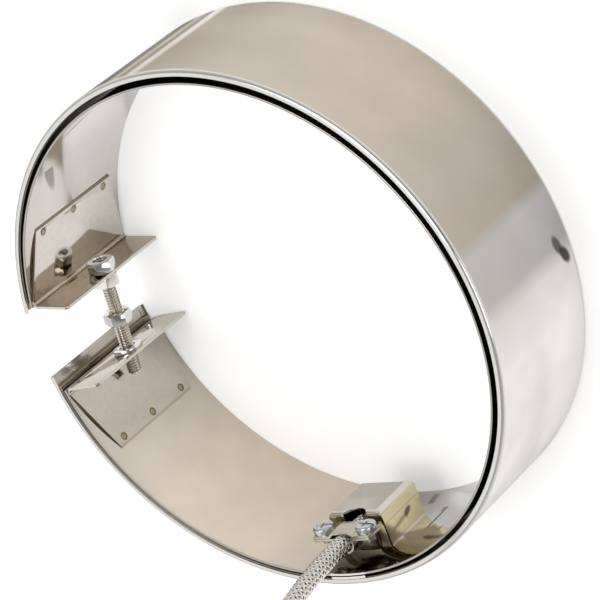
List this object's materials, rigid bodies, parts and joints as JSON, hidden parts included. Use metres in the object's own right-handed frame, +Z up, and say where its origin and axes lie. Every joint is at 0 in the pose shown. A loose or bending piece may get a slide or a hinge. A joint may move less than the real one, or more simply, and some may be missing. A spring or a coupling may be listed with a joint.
{
  "type": "internal band heater",
  "caption": "Open polished-steel ring heater that expands inside a round bore: turnbuckle screw between two lugs, terminal box and braided lead on its inner side.",
  "frame": {"origin": "centre of the ring at its lower rim, on the surface that it stands on", "axes": "+Z up along the ring's axis, from the rim that it stands on to the rim that the lead leaves by; the expansion gap's middle lies at 44.5 degrees from +X towards +Y and the terminal box at 135.6 degrees"},
  "size_m": [0.3385, 0.2657, 0.1536],
  "materials": {
    "sheath": "mirror polished stainless sheet",
    "cover": "bright stainless sheet",
    "strap": "mirror polished stainless spring band",
    "lug": "bright stainless sheet, spot welded",
    "hardware": "bright plated steel",
    "box": "bright stainless sheet",
    "braid": "bright stainless wire braid",
    "mica": "pressed mica",
    "ribbon": "nickel-chromium ribbon",
    "ceramic": "unglazed steatite",
    "brass": "bright brass",
    "wire": "glass-fibre insulated wire",
    "copper": "tinned copper strand"
  },
  "bodies": {
    "heater": {"outer_sheath": "sheath", "inner_cover": "cover", "outer_mica": "mica", "winding_mica": "mica", "inner_mica": "mica", "resistance_ribbon": "ribbon", "expansion_strap": "strap", "lug_a": "lug", "lug_b": "lug", "expansion_stud": "hardware", "lock_nut_outer": "hardware", "lock_nut_inner": "hardware", "jack_washer": "hardware", "terminal_box": "box", "terminal_posts": "brass", "ceramic_bushings": "ceramic", "lead_eyelets": "brass", "terminal_nuts": "brass", "inner_wires": "wire", "clamp_bracket": "box", "clamp_saddle": "box", "clamp_screw_left": "hardware", "clamp_screw_right": "hardware", "lead_entry": "braid", "lead_braid": "braid", "lead_ferrule": "hardware", "lead_tail_a": "wire", "lead_tail_b": "wire", "tinned_tips": "copper"},
    "jack_nut": {"jack_nut": "hardware"}
  },
  "joints": [
    {"name": "jack_nut_travel", "type": "slide", "parent": "heater", "child": "jack_nut", "axis": [-0.6398, 0.7685, 0], "range_m": [-0.0127, 0.0105]}
  ]
}
